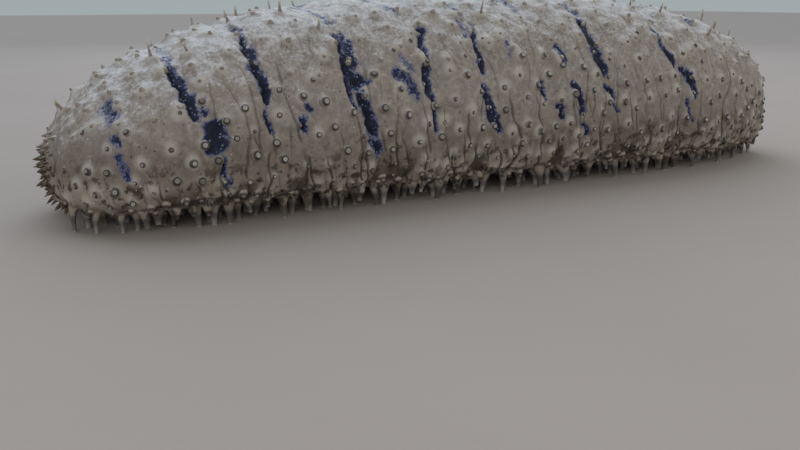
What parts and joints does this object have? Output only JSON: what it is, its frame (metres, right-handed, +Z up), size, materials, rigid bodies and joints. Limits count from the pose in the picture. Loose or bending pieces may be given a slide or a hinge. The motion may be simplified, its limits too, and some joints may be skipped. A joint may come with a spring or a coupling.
{
  "type": "sea cucumber model",
  "caption": "Life-size still model of a sandfish sea cucumber crawling on the floor: arched loaf-shaped body with papillae, flat footed sole, mouth and vent ends.",
  "frame": {"origin": "centre of the footprint, on the floor that the walking feet stand on", "axes": "+Z up, +X from the mouth end to the vent end, +Y towards the animal's left side"},
  "size_m": [0.2347, 0.0665, 0.0562],
  "materials": {
    "body_wall": "damp, leathery, dusted with pale sand",
    "sole": "damp, smooth and slightly translucent",
    "mouth": "wet, soft"
  },
  "bodies": {
    "root": {"oral_end": "body_wall", "tentacle_crown": "mouth", "front_body": "body_wall", "middle_body": "body_wall", "rear_body": "body_wall", "anal_end": "body_wall", "front_sole": "sole", "middle_sole": "sole", "rear_sole": "sole"}
  },
  "joints": []
}
